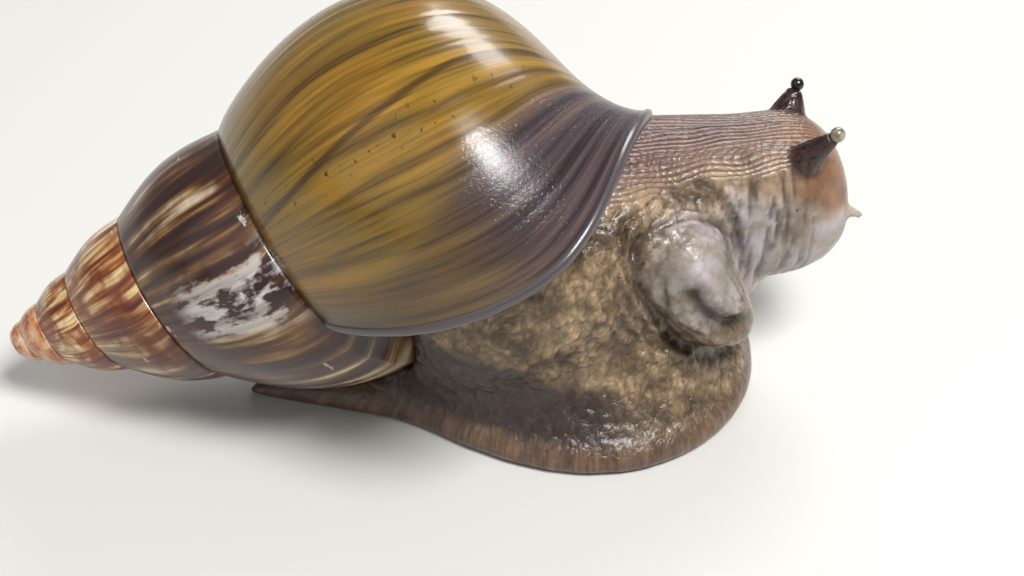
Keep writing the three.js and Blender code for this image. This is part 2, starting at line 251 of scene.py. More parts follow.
def shellRelief(t, theta, end):  # growth ridges, pauses in growth and a slight unevenness
    turns = theta / turn
    wave = noise.noise(Vector((turns * relief["ridges"], t * 1.5, 3.7)))
    fine = noise.noise(Vector((turns * relief["fines"], t * 3, 9.1)))
    swell = noise.noise(Vector((turns * relief["swells"], t * 5, 1.3)))
    pause = sum(math.exp(-((turns - place) / relief["pauseWidth"]) ** 2) for place in growthPauses)
    amount = (relief["ridge"] * wave + relief["fine"] * fine + relief["swell"] * swell
              - relief["pause"] * pause)
    edge = smoothStep(t, 0, relief["fade"])
    if end < 1:
        edge *= smoothStep(end - t, 0, relief["fade"])
    roundness = radiusAt(t, theta) / shell["widest"]
    return amount * edge * roundness * shell["growth"] ** (turns * relief["calming"])


def lengthOn(t, theta, last):  # mm from the apex; the last turn is drawn out behind
    stretch = 1 + shell["bodyStretch"] * roundTheBack(theta) if last else 1
    return (shell["suture"] + (lengthAt(t) - shell["suture"]) * stretch) * shell["growth"] ** (theta / turn)


def whorlPlace(t, theta, last, inwards=0.0):
    length = lengthOn(t, theta, last)
    tuck = 1 - shell["bodyTuck"] * roundTheBack(theta) * t if last else 1
    scale = shell["growth"] ** (theta / turn * shell["radialPower"])
    radius = radiusAt(t, theta) * scale * tuck * pinched(length)
    if not inwards:
        radius += shellRelief(t, theta, 1.0 if last else covered)
    return shellPoint(max(radius - inwards, shell["core"]), length, shell["lipAngle"] + theta + sweep(t))


def axisPlace(t, theta, last):
    return shellPoint(shell["core"], lengthOn(t, theta, last), shell["lipAngle"] + theta)


def buildShell():
    rowsSpire = [covered * i / shell["rowsCovered"] for i in range(shell["rowsCovered"] + 1)]
    rowsBody = rowsSpire + [covered + (1 - covered) * math.sin(0.5 * math.pi * i / shell["rowsBelow"])
                            for i in range(1, shell["rowsBelow"] + 1)]
    columns = []
    for whole, steps in shell["stepsPerTurn"].items():
        first = max(whole, shell["firstTurn"])
        columns += [(first + (whole + 1 - first) * i / steps) * turn for i in range(steps)]
    columns.append(0.0)
    points, faces, places = [], [], []

    def addLoop(rows, theta, last, inwards=0.0):
        start = len(points)
        for t in rows:
            points.append(whorlPlace(t, theta, last, inwards))
            places.append((theta / turn, t))
        for t in (rows[-1], rows[0]):
            points.append(axisPlace(t, theta, last))
            places.append((theta / turn, t))
        return list(range(start, len(points)))

    def addStrip(a, b):
        count = len(a)
        for i in range(count):
            j = (i + 1) % count
            faces.append((a[i], a[j], b[j], b[i]))

    before = None
    for theta in columns:
        last = theta >= -turn - 1e-6
        loop = addLoop(rowsBody if last else rowsSpire, theta, last)
        if before is None:
            faces.append(loop[::-1])
        elif len(before) == len(loop):
            addStrip(before, loop)
        else:  # the whorl now reaches down to the base, so a web closes the step
            low = len(rowsSpire)
            for i in range(low - 1):
                faces.append((before[i], before[i + 1], loop[i + 1], loop[i]))
            faces.append((before[low], before[low + 1], loop[-1], loop[-2]))
            faces.append((before[low + 1], before[0], loop[0], loop[-1]))
            faces.append([before[low - 1], before[low], loop[-2]] + loop[len(rowsBody) - 1:low - 2:-1])
        before = loop
    for back, inwards in shell["throatSteps"]:
        loop = addLoop(rowsBody, shell["throat"] * back, True, inwards * shell["wall"])
        addStrip(before, loop)
        before = loop
    faces.append(before)
    piece = meshPiece("shell", points, faces)
    layer = piece.data.uv_layers.new(name="growth")  # u counts turns, v runs from suture to base
    for corner in piece.data.loops:
        layer.data[corner.index].uv = places[corner.vertex_index]
    for corner in piece.data.polygons[0].loop_indices:  # the very tip has no suture
        layer.data[corner].uv = (shell["firstTurn"], 0.3)
    return piece


shellPiece = buildShell()
print("shell:", len(shellPiece.data.polygons), "faces")


# lip: a rounded rim along the last growth line

lip = {  # mm, and shares of the full size at the suture and at the base
    "width": 2.4, "proud": 0.55, "depth": 1.6, "from": 0.006, "to": 0.9992, "steps": 200, "around": 14,
    "setBack": 0.4, "startSize": 0.75, "endSize": 0.4, "blunt": 14, "uneven": 0.06, "lumps": 26,
}


def outlinePlace(t, outwards, forwards):  # beside the outline of the aperture
    step = min(0.004, 0.5 * (1 - t))
    above, below = max(t - step, 0), t + step
    lean = math.atan2(radiusAt(below, 0) - radiusAt(above, 0), lengthAt(below) - lengthAt(above))
    angle = shell["lipAngle"] + sweep(t)
    ahead = rightOfAxis * math.cos(angle) - overAxis * math.sin(angle)
    radius = radiusAt(t, 0) + outwards * math.cos(lean)
    return shellPoint(radius, lengthAt(t) - outwards * math.sin(lean), angle) + ahead * forwards


def ringedPiece(name, rings):  # a closed tube through rings of points, rounded off at both ends
    around = len(rings[0])
    points = [point for ring in rings for point in ring]
    faces = []
    for row in range(len(rings) - 1):
        for k in range(around):
            a, b = row * around + k, row * around + (k + 1) % around
            faces.append((a, b, b + around, a + around))
    faces.append(list(range(around))[::-1])
    faces.append(list(range(len(points) - around, len(points))))
    return meshPiece(name, points, faces)


def buildLip():
    rings = []
    for i in range(lip["steps"] + 1):
        u = i / lip["steps"]
        t = mixed(lip["from"], lip["to"], math.sin(0.5 * math.pi * u))  # closer steps towards the axis
        least = mixed(lip["startSize"], lip["endSize"], u)
        size = least + (1 - least) * math.sqrt(max(0.0, 1 - abs(2 * u - 1) ** lip["blunt"]))
        size *= 1 + lip["uneven"] * noise.noise(Vector((u * lip["lumps"], 4.4, 0)))
        out = (lip["proud"] + lip["depth"]) / 2 * size
        middle = (lip["proud"] - lip["depth"]) / 2
        ring = []
        for k in range(lip["around"]):
            angle = turn * k / lip["around"]
            ahead = lip["width"] / 2 * size * (1 + math.sin(angle)) - lip["setBack"]
            ring.append(outlinePlace(t, middle + out * math.cos(angle), ahead))
        rings.append(ring)
    return ringedPiece("shellLip", rings)


lipPiece = buildLip()
print("lip:", len(lipPiece.data.polygons), "faces")


# skin: one piece over head, neck, trunk and foot

skin = {  # mm
    "coarseVoxel": 0.9, "inflate": 0.3, "coarseSmooth": 26, "seamSmooth": 60,
    "fineVoxel": 0.69, "fineSmooth": 4, "feelerInflate": 0.3,
    "neckAxisHeight": 39.5, "neckRadius": 14.5,  # the line that the rows of beads run along
    "rowSpacing": 1.15, "beadLength": 1.75, "beadHeight": 0.16,
    "stroke": 0.55,  # between the points that a carved stroke is measured from
}
groove = {  # shares of a stroke's depth, and distances in half widths; creaseShade is how far the painted shade along a stroke reaches
    "bottom": 0.92, "bank": 0.176, "bankAt": 2.1, "bankWidth": 0.9, "creaseShade": 0.95, "reach": 5,
}
wrinkle = {  # mm
    "size": 3.1, "depth": 0.34, "smallDepth": 0.16, "swell": 0.12,
    "ringSpacing": 2.9, "ringDepth": 0.55, "headSpacing": 1.9, "headDepth": 0.55,
}
foldMiddle, lobeMiddle = numpy.array((31, -22, 37)), numpy.array((31, -25, 40))
foldPulls = [  # middle, reach and move: the fold's lobe and lower ridge stand out
    ((41.5, -23, 36), 7, (-1.6, 0.9, 0)), ((31, -26, 42), 6, (0.2, -0.5, 0.4)),
    ((33, -30, 26.5), 4, (0, -0.6, 0.2)),
]
bodyNodes = ["trunk", "neck", "head", "mouth", "foot_front", "foot_middle", "foot_tail", "foot_front_fold"]
fineNodes = ["mantle_edge", "upper_tentacle_right", "upper_tentacle_left", "lower_tentacle_right",
             "lower_tentacle_left"]
collar = {"from": 0.03, "to": 0.97, "front": -2.2, "rear": -13, "gap": -0.2,  # degrees behind the lip, and mm
          "rows": 40, "ranks": 16, "layers": 3}
feelerLines = {  # mm: root and tip, and how far the dark skin reaches round them
    "upper": [((55.6, -8.8, 49.6), (61, -11, 56.2), 3.6), ((58, 7.4, 49.4), (60.3, 9.4, 55.2), 4.2)],
    "lower": [((65, -8.4, 36.6), (69, -9.6, 35), 1.3), ((65.4, 5.4, 36.6), (69.6, 7, 35.2), 1.3)],
}
strokes = [  # carved lines: path in mm, half width, depth and how dark the line is, as painted shade in the groove and the fold's hollow
    ([(19.8, -20.6, 45.6), (18.3, -22.4, 42.9), (18.4, -23.6, 40.1), (19.4, -24.1, 35.8),
      (21.2, -24, 31.9), (23.6, -23.4, 27.5), (27.1, -22.6, 21.8), (30.4, -22.4, 18.8)], 0.95, 1.7, 0.95),
    ([(18.5, -22.3, 42.9), (20.8, -20.5, 45.3), (24.3, -19, 46.5), (28.7, -18, 46.9), (33, -17.1, 45.5),
      (37.6, -15.3, 41.6), (40.4, -14.8, 38), (42.1, -14.4, 34)], 0.8, 0.9, 0.8),
    ([(34, -11.7, 49.4), (36.2, -12.1, 48.5), (38, -13.1, 46.2), (39.7, -14, 42.8), (41.3, -14.5, 38.6),
      (42.5, -14.3, 34.4), (43.3, -13.7, 28.9)], 0.8, 1.1, 0.85),
    ([(12.5, -23.1, 43.1), (14.5, -24.7, 38.5), (17.4, -24.9, 32.7), (21.4, -23.2, 24.8),
      (24.6, -23.8, 20.2)], 0.8, 0.9, 0.65),
    ([(16.4, -19.3, 48.2), (15.5, -21.6, 45.4), (16.3, -23.5, 41.3), (18.6, -24.3, 35.9),
      (21.8, -23.8, 29.4), (25.7, -22.4, 22.4)], 0.75, 1.0, 0.75),
    ([(9.1, -24.7, 40.7), (11.3, -25.4, 36.1), (15, -25.5, 29.6), (19.7, -23.9, 21.7)], 0.75, 0.7, 0.5),
    ([(20.4, -17.3, 49.1), (17.7, -18.9, 48.4), (15.2, -21.1, 46.2)], 0.7, 0.6, 0.4),
    ([(28.1, -28, 35.2), (29.5, -28.9, 32.5), (31.9, -29.5, 30.1), (34.8, -29.3, 28.2),
      (38.1, -28.1, 26.9)], 2.0, 3.4, 1.0),
    ([(30.4, -29.6, 30.8), (32.8, -30, 28.4), (36, -29.4, 26.7), (38.5, -28.2, 25.4)], 2.0, 0.5, 0.85),
    ([(26.1, -27.3, 32.6), (27.7, -27.8, 28.7), (31, -28.2, 25.6), (36, -28, 23.5)], 0.8, 0.5, 0.35),
    ([(24.1, -22.5, 22.7), (28.1, -23.1, 19), (34.1, -21.2, 14.8), (41, -16.6, 10.7)], 1.1, 0.8, 0.9),
]
mouthLines = [  # an upright slit with a fold on each side, low on the face: across and up; the last number is how dark the line is, as painted shade in the slit
    ([(-1.4, 33.4), (-1.6, 31.6), (-1.4, 29.6), (-1.3, 27.6), (-1.4, 25.4)], 0.75, 1.6, 1.0),
    ([(-2.6, 34.6), (-4.4, 33), (-5, 30.6), (-4.4, 28), (-3, 26)], 0.7, 0.8, 0.5),
    ([(-0.2, 34.6), (1.6, 33), (2.2, 30.6), (1.6, 28), (0.2, 26)], 0.7, 0.8, 0.5),
]
# the near half's wrinkles are repeated, a little weaker, on the far flank
mirrored = [([(x + 1.5, -y, z - 1) for x, y, z in path], width, depth * 0.8, dark * 0.8)
            for path, width, depth, dark in strokes[3:6]]


def copyNode(node):
    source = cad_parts[node]
    piece = source.copy()
    piece.data = source.data.copy()
    piece.parent = None
    for key in list(piece.keys()):
        del piece[key]
    piece.name = node + "Copy"
    bpy.context.scene.collection.objects.link(piece)
    makeActive(piece)
    bpy.ops.object.mode_set(mode="EDIT")
    bpy.ops.mesh.select_all(action="SELECT")
    bpy.ops.mesh.remove_doubles(threshold=1e-6)
    bpy.ops.object.mode_set(mode="OBJECT")
    return piece


def joinPieces(pieces, name):
    deselectAll()
    for piece in pieces:
        piece.select_set(True)
    bpy.context.view_layer.objects.active = pieces[0]
    bpy.ops.object.join()
    joined = bpy.context.object
    joined.name = name
    joined.data.name = name
    return joined


def readPlaces(piece):  # vertices in mm, in the frame of the numbers above
    flat = numpy.empty(len(piece.data.vertices) * 3, dtype=numpy.float32)
    piece.data.vertices.foreach_get("co", flat)
    return flat.reshape(-1, 3).astype(float) / mm - numpy.array(originShift)


def writePlaces(piece, places):
    places = places.copy()
    places[:, 2] = numpy.maximum(places[:, 2], 0)
    flat = ((places + numpy.array(originShift)) * mm).astype(numpy.float32).ravel()
    piece.data.vertices.foreach_set("co", flat)
    piece.data.update()


def readNormals(piece):
    flat = numpy.empty(len(piece.data.vertices) * 3, dtype=numpy.float32)
    piece.data.vertex_normals.foreach_get("vector", flat)
    return flat.reshape(-1, 3).astype(float)


def ease(values, low, high):  # smoothStep for whole arrays
    u = numpy.clip((values - low) / (high - low), 0, 1)
    return u * u * (3 - 2 * u)


def resampled(path, step):
    points = [Vector(p) for p in path]
    found = []
    for a, b in zip(points, points[1:]):
        count = max(1, round((b - a).length / step))
        found += [a.lerp(b, i / count) for i in range(count)]
    return numpy.array([tuple(p) for p in found + [points[-1]]])


def distanceTo(places, path):
    nearest = numpy.full(len(places), 1e9)
    for point in resampled(path, skin["stroke"]):
        nearest = numpy.minimum(nearest, ((places - point) ** 2).sum(axis=1))
    return numpy.sqrt(nearest)


def ontoFace(places, path):  # the foremost skin at each height across the face
    found = []
    for y, z in path:
        near = (numpy.abs(places[:, 1] - y) < 0.9) & (numpy.abs(places[:, 2] - z) < 0.9)
        found.append((places[near, 0].max(), y, z))
    return found


def noiseOver(places, scale, shift=0.0):  # scale in mm, one number or one for each axis
    scaled = places / numpy.array(scale) + shift
    return numpy.array([noise.noise(Vector(p)) for p in scaled])


def cellsOver(places, scale, shift=0.0):  # how far a point is from the border of its cell, 0 on it
    scaled = places / numpy.array(scale) + shift
    found = numpy.empty(len(places))
    for i, p in enumerate(scaled):
        near = noise.voronoi(Vector(p))[0]
        found[i] = near[1] - near[0]
    return found


def aroundNeck(places):  # mm round the neck from its top, towards either side
    return skin["neckRadius"] * numpy.arctan2(numpy.abs(places[:, 1]), places[:, 2] - skin["neckAxisHeight"])


def beadMask(places):  # 1 on the upper neck, where the beads are, 0 on face, feelers, flank and lower head
    x = places[:, 0]
    lowest = numpy.interp(x, [12, 23, 35, 42, 48, 54, 61], [15.5, 14.2, 12.4, 13.2, 13.4, 12, 10])
    ends = ease(x, 10, 15) * ease(63 - x, 0, 5) * ease(places[:, 2], 40, 43)
    return ease(lowest - aroundNeck(places), -0.8, 1.8) * ends


def refineNeck(piece):  # finer faces where the beads are
    mask = beadMask(readPlaces(piece)) > 0.02
    chosen = [all(mask[i] for i in face.vertices) for face in piece.data.polygons]
    makeActive(piece)
    bpy.ops.object.mode_set(mode="EDIT")
    bpy.ops.mesh.select_mode(type="FACE")
    bpy.ops.mesh.select_all(action="DESELECT")
    bpy.ops.object.mode_set(mode="OBJECT")
    piece.data.polygons.foreach_set("select", chosen)
    bpy.ops.object.mode_set(mode="EDIT")
    bpy.ops.mesh.subdivide(number_cuts=1, smoothness=0)
    bpy.ops.object.mode_set(mode="OBJECT")


def storeAttribute(piece, name, values):
    kind = "FLOAT_VECTOR" if values.ndim == 2 else "FLOAT"
    layer = piece.data.attributes.new(name, kind, "POINT")
    layer.data.foreach_set("vector" if values.ndim == 2 else "value", values.astype(numpy.float32).ravel())


def carve(places, normals, free):  # every stroke is a groove between raised banks, darkened with painted shade
    dark, sink = numpy.zeros(len(places)), numpy.zeros(len(places))
    mouth = [(ontoFace(places, path), width, depth, tone) for path, width, depth, tone in mouthLines]
    for path, width, depth, tone in strokes + mirrored + mouth:
        away = distanceTo(places, path) / width
        near = away < groove["reach"]
        bank = groove["bank"] * numpy.exp(-((away[near] - groove["bankAt"]) / groove["bankWidth"]) ** 2)
        wobble = 0.9 + 0.25 * noiseOver(places[near], 3.5)
        sink[near] += (groove["bottom"] * numpy.exp(-away[near] ** 2) - bank) * wobble * depth
        dark = numpy.maximum(dark, numpy.exp(-(away / groove["creaseShade"]) ** 2) * tone)
    return places - normals * (numpy.clip(sink, -1, 3) * free)[:, None], dark


def beadRows(places, beads):  # how many beads along and rows across, and how far each place stands out
    lines = numpy.zeros((len(places), 3))
    there = beads > 0.001
    some = places[there]
    side = numpy.where(some[:, 1] < 0, 0.0, 40.0)  # the rows of the two sides are numbered apart
    shaken = aroundNeck(some) + 1.3 * noiseOver(some, (9, 6, 6), 4.2) + 0.05 * (some[:, 0] - 20)
    lines[there, 0] = some[:, 0] / skin["beadLength"] + 1.1 * noiseOver(some, (3.5, 2.4, 2.4), 8.8)
    lines[there, 1] = shaken / skin["rowSpacing"] + side
    lines[:, 2] = beads
    across = numpy.abs(numpy.sin(math.pi * lines[:, 1])) ** 0.6
    along = numpy.abs(numpy.sin(math.pi * (lines[:, 0] + 0.37 * numpy.floor(lines[:, 1])))) ** 0.5
    return lines, skin["beadHeight"] * beads * (across * (0.5 + 0.5 * along) - 0.6)


def wrinkles(places, beads, dark):  # cells on the flank, rings round the fold, upright folds on the head, with painted shade in their creases
    x, y, z = places.T
    bare, undug = 1 - beads, 1 - 0.8 * dark
    head = ease(x, 38, 43) * ease(z, 16, 22)
    warped = places + 1.3 * numpy.stack([noiseOver(places, 5, shift) for shift in (1, 2, 3)], 1)
    slant = numpy.stack([warped[:, 0] * 0.86 + warped[:, 2] * 0.5, warped[:, 1],
                         -warped[:, 0] * 0.5 + warped[:, 2] * 0.86], axis=1)
    size = wrinkle["size"]
    coarse = cellsOver(slant, (size * 0.85, size, size * 1.6))
    small = cellsOver(slant, (size * 0.45, size * 0.5, size * 0.75), 5.5)
    lobe = numpy.exp(-((places - lobeMiddle) ** 2).sum(axis=1) / 60)
    fromFold = numpy.sqrt(((places - foldMiddle) ** 2).sum(axis=1))
    rings = fromFold / wrinkle["ringSpacing"] + 0.75 * noiseOver(places, 7, 4)
    beside = ease(fromFold, 8.5, 11) * (1 - ease(fromFold, 17, 27)) * ease(z, 8, 12) * (1 - ease(x, 30, 36))
    ringGroove = (1 - ease(numpy.abs(numpy.sin(math.pi * rings)), 0.0, 0.5)) * beside * (y < 0) * bare * undug
    strength = bare * (1 - head) * ease(z, 3, 8) * (1 - 0.75 * lobe) * undug
    strength += 0.6 * head * bare * ease(z + 0.3 * x, 48, 54) * (1 - ease(x, 48, 58))
    coarseGroove = strength * (1 - ease(coarse, 0.0, 0.34))
    smallGroove = strength * (1 - ease(small, 0.0, 0.3))
    folds = numpy.abs(noiseOver(places, (wrinkle["headSpacing"], 40, 14), 6.1))
    headGroove = head * bare * ease(z, 22, 27) * (1 - ease(x, 55, 60)) * (1 - ease(folds, 0.0, 0.2))
    height = (wrinkle["swell"] * strength * noiseOver(places, 4.5, 9) - wrinkle["depth"] * coarseGroove
              - wrinkle["smallDepth"] * smallGroove - wrinkle["ringDepth"] * ringGroove
              - wrinkle["headDepth"] * headGroove)
    # painted shade: the darkened strokes plus the darkened creases of the wrinkles
    creaseShade = dark + 0.55 * coarseGroove + 0.3 * smallGroove + 0.7 * headGroove + 0.6 * ringGroove
    return height, numpy.clip(creaseShade, 0, 1)


def feelerMasks(places):  # 1 on the dark upper feelers and the skin round them, 1 on the pale lower ones
    upper, lower = numpy.zeros(len(places)), numpy.zeros(len(places))
    for root, tip, reach in feelerLines["upper"]:
        away = distanceTo(places, [root, tip])
        upper = numpy.maximum(upper, 1 - ease(away, reach * 0.75, reach * 1.35))
    for root, tip, reach in feelerLines["lower"]:
        tube = 1 - ease(distanceTo(places, [root, tip]), reach * 0.9, reach * 1.2)
        lower = numpy.maximum(lower, tube * ease(places[:, 0], root[0] - 0.5, root[0] + 1.2))
    return upper, lower


def regionMasks(places):  # brown neck, grey head and fold, night-dark flank above the foot edge
    x, y, z = places.T
    border = numpy.interp(x, [12, 23, 35, 42, 48, 54, 61, 66],
                          [15.5, 14.4, 13.4, 15.2, 16.8, 19.5, 23.5, 25.5])
    soft = 1.6 * noiseOver(places, 4.5, 3) + 0.7 * noiseOver(places, 1.6, 3)
    brown = ease(border - aroundNeck(places) + soft, -3.2, 3.2) * ease(x, 8, 16)
    headTint = numpy.where(y < 0, ease(x, 36, 42), ease(x + 3 * soft, 26, 48)) * ease(z + soft, 15, 23)
    fromFold = numpy.sqrt(((places - foldMiddle) ** 2).sum(axis=1))
    grey = numpy.maximum(headTint, 0.95 * numpy.exp(-(fromFold / 12.5) ** 6) * (y < 0)) * (1 - brown)
    highest = numpy.interp(x, [-22, -10, -4, 3, 11, 18, 27, 36], [29, 25.5, 21.5, 17.5, 15, 13, 10.5, 7])
    ragged = 2.2 * noiseOver(places, 3.2, 12)
    night = ease(highest - z + ragged, -1.5, 3) * ease(z + 0.5 * ragged, 4.6, 6.6) * (1 - ease(x, 6, 32))
    return brown, grey, night * numpy.where(y < 0, 1.0, 0.75)


def sculptSkin(piece):
    places, normals = readPlaces(piece), readNormals(piece)
    aboveSole = ease(places[:, 2], 0.4, 2.5)  # the sole stays flat
    for centre, reach, move in foldPulls:
        share = numpy.exp(-((places - numpy.array(centre)) ** 2).sum(axis=1) / (2 * (reach / 2) ** 2))
        places = places + share[:, None] * numpy.array(move)
    places, dark = carve(places, normals, aboveSole)
    writePlaces(piece, places)
    places, normals = readPlaces(piece), readNormals(piece)
    beads = beadMask(places)
    lines, raised = beadRows(places, beads)
    height, creaseShade = wrinkles(places, beads, dark)
    places = places + normals * ((raised + height) * aboveSole)[:, None]
    writePlaces(piece, places)

    # what the finish reads
    x, y, z = places.T
    margin = (1 - ease(z, 5, 7.5)) * ease(z, 0, 0.4)
    roundTheFoot = 40 * numpy.arctan2((y + 2) * 1.2, x - 10)
    storeAttribute(piece, "lines", lines)
    # groove holds the painted shade for the grooves, creases and the fold's hollow
    storeAttribute(piece, "groove", creaseShade)
    storeAttribute(piece, "regions", numpy.stack(regionMasks(places), axis=1))
    storeAttribute(piece, "places", numpy.stack([*feelerMasks(places), margin], axis=1))
    storeAttribute(piece, "edge", numpy.stack([roundTheFoot, z, numpy.zeros(len(z))], axis=1))


def buildCollar():  # the mantle that fills the aperture, just behind the lip
    rows, ranks, layers = collar["rows"], collar["ranks"], collar["layers"]
    points, faces, number = [], [], {}

    def corner(i, j, k):
        if (i, j, k) not in number:
            t = mixed(collar["from"], collar["to"], i / rows)
            theta = math.radians(mixed(collar["front"], collar["rear"], k / layers))
            outer = whorlPlace(t, theta, True, shell["wall"] + collar["gap"])
            number[i, j, k] = len(points)
            points.append(outer.lerp(axisPlace(t, theta, True), j / ranks))
        return number[i, j, k]

    def addSide(place, across, down):
        for a in range(across):
            for b in range(down):
                faces.append([corner(*place(*c)) for c in ((a, b), (a + 1, b), (a + 1, b + 1), (a, b + 1))])

    for end in (0, 1):
        addSide(lambda a, b: (a, b, end * layers), rows, ranks)
        addSide(lambda a, b: (a, end * ranks, b), rows, layers)
        addSide(lambda a, b: (end * rows, a, b), ranks, layers)
    return meshPiece("collar", points, faces)


def soften(piece, iterations):  # where foot and trunk meet
    x, y, z = readPlaces(piece).T
    weights = ease(18 - x, 0, 10) * ease(z, 4, 9) * ease(32 - z, 0, 6)
    group = piece.vertex_groups.new(name="meeting")
    for i in numpy.nonzero(weights > 0.01)[0]:
        group.add([int(i)], float(weights[i]), "REPLACE")
    applyModifier(piece, "SMOOTH", factor=0.5, iterations=iterations, vertex_group="meeting")
    piece.vertex_groups.clear()


def buildSkin():
    copies = [copyNode(node) for node in bodyNodes]
    for piece in copies:
        applyModifier(piece, "DISPLACE", strength=skin["inflate"] * mm, mid_level=0.0)
    body = joinPieces(copies + [buildCollar()], "skin")
    applyModifier(body, "REMESH", mode="VOXEL", voxel_size=skin["coarseVoxel"] * mm)
    applyModifier(body, "SMOOTH", factor=0.5, iterations=skin["coarseSmooth"])
    soften(body, skin["seamSmooth"])
    feelers = [copyNode(node) for node in fineNodes]
    for piece in feelers:
        applyModifier(piece, "SUBSURF", levels=1, render_levels=1)
        applyModifier(piece, "DISPLACE", strength=skin["feelerInflate"] * mm, mid_level=0.0)
    body = joinPieces([body] + feelers, "skin")
    applyModifier(body, "REMESH", mode="VOXEL", voxel_size=skin["fineVoxel"] * mm)
    applyModifier(body, "SMOOTH", factor=0.5, iterations=skin["fineSmooth"])
    refineNeck(body)
    sculptSkin(body)
    makeActive(body)
    bpy.ops.object.shade_smooth()
    body.data.materials.clear()
    return body


skinPiece = buildSkin()
print("skin:", len(skinPiece.data.polygons), "faces")


# eyes: knobs at the tips of the upper feelers

eye = {"segments": 40, "rings": 24}


def buildEye(node):
    low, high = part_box(node)
    deselectAll()
    bpy.ops.mesh.primitive_uv_sphere_add(segments=eye["segments"], ring_count=eye["rings"],
                                         radius=(high.z - low.z) / 2, location=(low + high) / 2)
    piece = bpy.context.object
    piece.name = node.replace("eye_", "eyeKnob_")
    bpy.ops.object.transform_apply(location=True, rotation=True, scale=True)
    bpy.ops.object.shade_smooth()
    return piece


eyePieces = {node: buildEye(node) for node in ("eye_right", "eye_left")}
print("eyes placed")


# materials

# settings that many nodes share
plus, minus, times, timesPlus, greatest, absolute, floored, sine, toPower = (
    {"operation": kind} for kind in ("ADD", "SUBTRACT", "MULTIPLY", "MULTIPLY_ADD", "MAXIMUM", "ABSOLUTE",
                                     "FLOOR", "SINE", "POWER"))
smooth = {"interpolation_type": "SMOOTHSTEP"}
tints = {"out": 2, "data_type": "RGBA"}

girth = 292  # mm round the body whorl at its widest, which is one turn
shellPatterns = {  # mm round the whorl, times from suture to base, detail, shift
    "fine": (0.885, 2.0, 2.0, 0.0), "lines": (3.07, 1.3, 3.0, 3.0), "bands": (14.6, 0.7, 2.0, 5.0),
    "clouds": (32.4, 2.6, 4.0, 7.0), "streaks": (6.08, 0.9, 2.5, 11.0), "patches": (36.5, 2.6, 3.0, 13.0),
    "wear": (13.9, 9.0, 5.0, 17.0), "flecks": (1.95, 46.0, 1.0, 19.0), "scars": (5.21, 5.0, 4.0, 23.0),
}
skinPatterns = {"mottle": (7, 6.0), "fine": (1.3, 4.0), "grain": (0.5, 2.0), "film": (2.2, 2.0)}  # mm, detail
skinCells = [(2.1, 3.4, 0.16), (0.9, 1.3, 0.3)]  # mm across, mm up and width of the crease in cells


